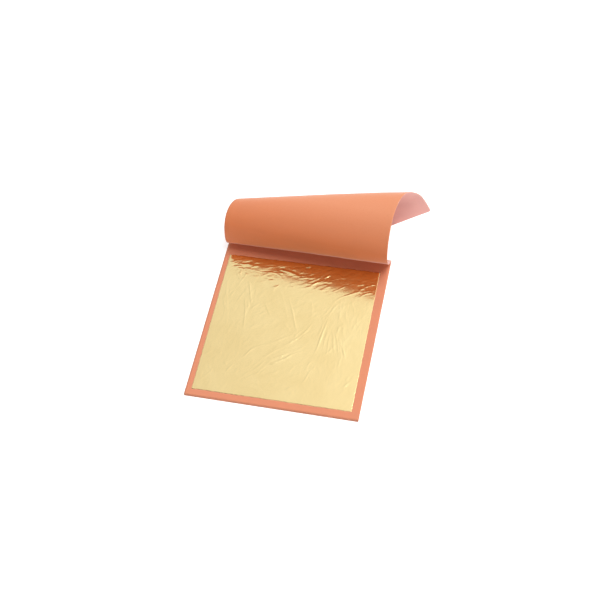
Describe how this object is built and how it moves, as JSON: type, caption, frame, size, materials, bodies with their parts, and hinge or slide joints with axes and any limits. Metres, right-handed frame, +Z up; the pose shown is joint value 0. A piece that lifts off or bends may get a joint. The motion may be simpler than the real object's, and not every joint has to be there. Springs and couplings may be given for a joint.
{
  "type": "gold leaf booklet",
  "caption": "Open booklet of loose gold leaf between thin tissue pages, bound at the spine, with its front cover rolled back over the spine.",
  "frame": {"origin": "middle of the back cover's underside, which rests on the table", "axes": "+X along the spine, +Y from the open edge to the spine, +Z up from the back cover"},
  "size_m": [0.104, 0.1189, 0.0422],
  "materials": {
    "page": "matte",
    "cover": "matte",
    "gold": "satin",
    "glue": "satin",
    "thread": "matte"
  },
  "bodies": {
    "root": {"back_cover": "cover", "spine_strip": "glue", "binding_thread": "thread", "gold_leaf_25": "gold"},
    "page_24": {"interleaf_24": "page", "gold_leaf_24": "gold"},
    "page_23": {"interleaf_23": "page", "gold_leaf_23": "gold"},
    "page_22": {"interleaf_22": "page", "gold_leaf_22": "gold"},
    "page_21": {"interleaf_21": "page", "gold_leaf_21": "gold"},
    "page_20": {"interleaf_20": "page", "gold_leaf_20": "gold"},
    "page_19": {"interleaf_19": "page", "gold_leaf_19": "gold"},
    "page_18": {"interleaf_18": "page", "gold_leaf_18": "gold"},
    "page_17": {"interleaf_17": "page", "gold_leaf_17": "gold"},
    "page_16": {"interleaf_16": "page", "gold_leaf_16": "gold"},
    "page_15": {"interleaf_15": "page", "gold_leaf_15": "gold"},
    "page_14": {"interleaf_14": "page", "gold_leaf_14": "gold"},
    "page_13": {"interleaf_13": "page", "gold_leaf_13": "gold"},
    "page_12": {"interleaf_12": "page", "gold_leaf_12": "gold"},
    "page_11": {"interleaf_11": "page", "gold_leaf_11": "gold"},
    "page_10": {"interleaf_10": "page", "gold_leaf_10": "gold"},
    "page_09": {"interleaf_09": "page", "gold_leaf_09": "gold"},
    "page_08": {"interleaf_08": "page", "gold_leaf_08": "gold"},
    "page_07": {"interleaf_07": "page", "gold_leaf_07": "gold"},
    "page_06": {"interleaf_06": "page", "gold_leaf_06": "gold"},
    "page_05": {"interleaf_05": "page", "gold_leaf_05": "gold"},
    "page_04": {"interleaf_04": "page", "gold_leaf_04": "gold"},
    "page_03": {"interleaf_03": "page", "gold_leaf_03": "gold"},
    "page_02": {"interleaf_02": "page", "gold_leaf_02": "gold"},
    "page_01": {"interleaf_01": "page"},
    "gold_01": {"gold_leaf_01": "gold"},
    "cover_1": {"front_cover_panel_1": "cover"},
    "cover_2": {"front_cover_panel_2": "cover"},
    "cover_3": {"front_cover_panel_3": "cover"},
    "cover_4": {"front_cover_panel_4": "cover"},
    "cover_5": {"front_cover_panel_5": "cover"},
    "cover_6": {"front_cover_panel_6": "cover"},
    "cover_7": {"front_cover_panel_7": "cover"},
    "cover_8": {"front_cover_panel_8": "cover"}
  },
  "joints": [
    {"name": "page_24_turn", "type": "hinge", "parent": "root", "child": "page_24", "pos_m": [0, 0.0452, 0.00019], "axis": [-1, 0, 0], "range_deg": [0, 3]},
    {"name": "page_23_turn", "type": "hinge", "parent": "page_24", "child": "page_23", "pos_m": [0, 0.0452, 0.00023], "axis": [-1, 0, 0], "range_deg": [0, 3]},
    {"name": "page_22_turn", "type": "hinge", "parent": "page_23", "child": "page_22", "pos_m": [0, 0.0452, 0.00027], "axis": [-1, 0, 0], "range_deg": [0, 3]},
    {"name": "page_21_turn", "type": "hinge", "parent": "page_22", "child": "page_21", "pos_m": [0, 0.0452, 0.00031], "axis": [-1, 0, 0], "range_deg": [0, 3]},
    {"name": "page_20_turn", "type": "hinge", "parent": "page_21", "child": "page_20", "pos_m": [0, 0.0452, 0.00035], "axis": [-1, 0, 0], "range_deg": [0, 3]},
    {"name": "page_19_turn", "type": "hinge", "parent": "page_20", "child": "page_19", "pos_m": [0, 0.0452, 0.00039], "axis": [-1, 0, 0], "range_deg": [0, 3]},
    {"name": "page_18_turn", "type": "hinge", "parent": "page_19", "child": "page_18", "pos_m": [0, 0.0452, 0.00043], "axis": [-1, 0, 0], "range_deg": [0, 3]},
    {"name": "page_17_turn", "type": "hinge", "parent": "page_18", "child": "page_17", "pos_m": [0, 0.0452, 0.00047], "axis": [-1, 0, 0], "range_deg": [0, 3]},
    {"name": "page_16_turn", "type": "hinge", "parent": "page_17", "child": "page_16", "pos_m": [0, 0.0452, 0.00051], "axis": [-1, 0, 0], "range_deg": [0, 3]},
    {"name": "page_15_turn", "type": "hinge", "parent": "page_16", "child": "page_15", "pos_m": [0, 0.0452, 0.00055], "axis": [-1, 0, 0], "range_deg": [0, 3]},
    {"name": "page_14_turn", "type": "hinge", "parent": "page_15", "child": "page_14", "pos_m": [0, 0.0452, 0.00059], "axis": [-1, 0, 0], "range_deg": [0, 3]},
    {"name": "page_13_turn", "type": "hinge", "parent": "page_14", "child": "page_13", "pos_m": [0, 0.0452, 0.00063], "axis": [-1, 0, 0], "range_deg": [0, 3]},
    {"name": "page_12_turn", "type": "hinge", "parent": "page_13", "child": "page_12", "pos_m": [0, 0.0452, 0.00067], "axis": [-1, 0, 0], "range_deg": [0, 3]},
    {"name": "page_11_turn", "type": "hinge", "parent": "page_12", "child": "page_11", "pos_m": [0, 0.0452, 0.00071], "axis": [-1, 0, 0], "range_deg": [0, 3]},
    {"name": "page_10_turn", "type": "hinge", "parent": "page_11", "child": "page_10", "pos_m": [0, 0.0452, 0.00075], "axis": [-1, 0, 0], "range_deg": [0, 3]},
    {"name": "page_09_turn", "type": "hinge", "parent": "page_10", "child": "page_09", "pos_m": [0, 0.0452, 0.00079], "axis": [-1, 0, 0], "range_deg": [0, 3]},
    {"name": "page_08_turn", "type": "hinge", "parent": "page_09", "child": "page_08", "pos_m": [0, 0.0452, 0.00083], "axis": [-1, 0, 0], "range_deg": [0, 3]},
    {"name": "page_07_turn", "type": "hinge", "parent": "page_08", "child": "page_07", "pos_m": [0, 0.0452, 0.00087], "axis": [-1, 0, 0], "range_deg": [0, 3]},
    {"name": "page_06_turn", "type": "hinge", "parent": "page_07", "child": "page_06", "pos_m": [0, 0.0452, 0.00091], "axis": [-1, 0, 0], "range_deg": [0, 3]},
    {"name": "page_05_turn", "type": "hinge", "parent": "page_06", "child": "page_05", "pos_m": [0, 0.0452, 0.00095], "axis": [-1, 0, 0], "range_deg": [0, 3]},
    {"name": "page_04_turn", "type": "hinge", "parent": "page_05", "child": "page_04", "pos_m": [0, 0.0452, 0.00099], "axis": [-1, 0, 0], "range_deg": [0, 3]},
    {"name": "page_03_turn", "type": "hinge", "parent": "page_04", "child": "page_03", "pos_m": [0, 0.0452, 0.00103], "axis": [-1, 0, 0], "range_deg": [0, 3]},
    {"name": "page_02_turn", "type": "hinge", "parent": "page_03", "child": "page_02", "pos_m": [0, 0.0452, 0.00107], "axis": [-1, 0, 0], "range_deg": [0, 3]},
    {"name": "page_01_turn", "type": "hinge", "parent": "page_02", "child": "page_01", "pos_m": [0, 0.0452, 0.00111], "axis": [-1, 0, 0], "range_deg": [0, 30]},
    {"name": "gold_leaf_01_slide", "type": "slide", "parent": "page_01", "child": "gold_01", "axis": [0, -1, 0], "range_m": [0, 0.08]},
    {"name": "front_cover_close", "type": "hinge", "parent": "page_01", "child": "cover_1", "pos_m": [0, 0.0452, 0.00154], "axis": [1, 0, 0], "range_deg": [0, 48]},
    {"name": "front_cover_unroll_1", "type": "hinge", "parent": "cover_1", "child": "cover_2", "pos_m": [-0.01293, 0.03677, 0.0109], "axis": [0.9974, -0.0486, 0.054], "range_deg": [0, 54.5]},
    {"name": "front_cover_unroll_2", "type": "hinge", "parent": "cover_2", "child": "cover_3", "pos_m": [-0.01279, 0.03939, 0.02332], "axis": [0.9916, -0.0333, 0.1248], "range_deg": [0, 36.5]},
    {"name": "front_cover_unroll_3", "type": "hinge", "parent": "cover_3", "child": "cover_4", "pos_m": [-0.01207, 0.0489, 0.03201], "axis": [0.9848, 0.0209, 0.1727], "range_deg": [0, 58.5]},
    {"name": "front_cover_unroll_4", "type": "hinge", "parent": "cover_4", "child": "cover_5", "pos_m": [-0.00941, 0.06144, 0.02878], "axis": [0.9842, 0.0906, 0.1519], "range_deg": [0, 57.5]},
    {"name": "front_cover_unroll_5", "type": "hinge", "parent": "cover_5", "child": "cover_6", "pos_m": [-0.00462, 0.06553, 0.01663], "axis": [0.9904, 0.1111, 0.0825], "range_deg": [0, 54.5]},
    {"name": "front_cover_unroll_6", "type": "hinge", "parent": "cover_6", "child": "cover_7", "pos_m": [0.00144, 0.05771, 0.00632], "axis": [0.9975, 0.0666, 0.0254], "range_deg": [0, 53.5]},
    {"name": "front_cover_unroll_7", "type": "hinge", "parent": "cover_7", "child": "cover_8", "pos_m": [-0.01017, 0.04415, 0.00625], "axis": [0.9996, -0.006, 0.0268], "range_deg": [0, 110.5]}
  ],
  "couplings": [
    {"joint": "front_cover_unroll_1", "follows": "front_cover_close", "ratio": 1.125},
    {"joint": "front_cover_unroll_2", "follows": "front_cover_close", "ratio": 0.75},
    {"joint": "front_cover_unroll_3", "follows": "front_cover_close", "ratio": 1.2083},
    {"joint": "front_cover_unroll_4", "follows": "front_cover_close", "ratio": 1.1875},
    {"joint": "front_cover_unroll_5", "follows": "front_cover_close", "ratio": 1.125},
    {"joint": "front_cover_unroll_6", "follows": "front_cover_close", "ratio": 1.1042},
    {"joint": "front_cover_unroll_7", "follows": "front_cover_close", "ratio": 2.2917}
  ]
}
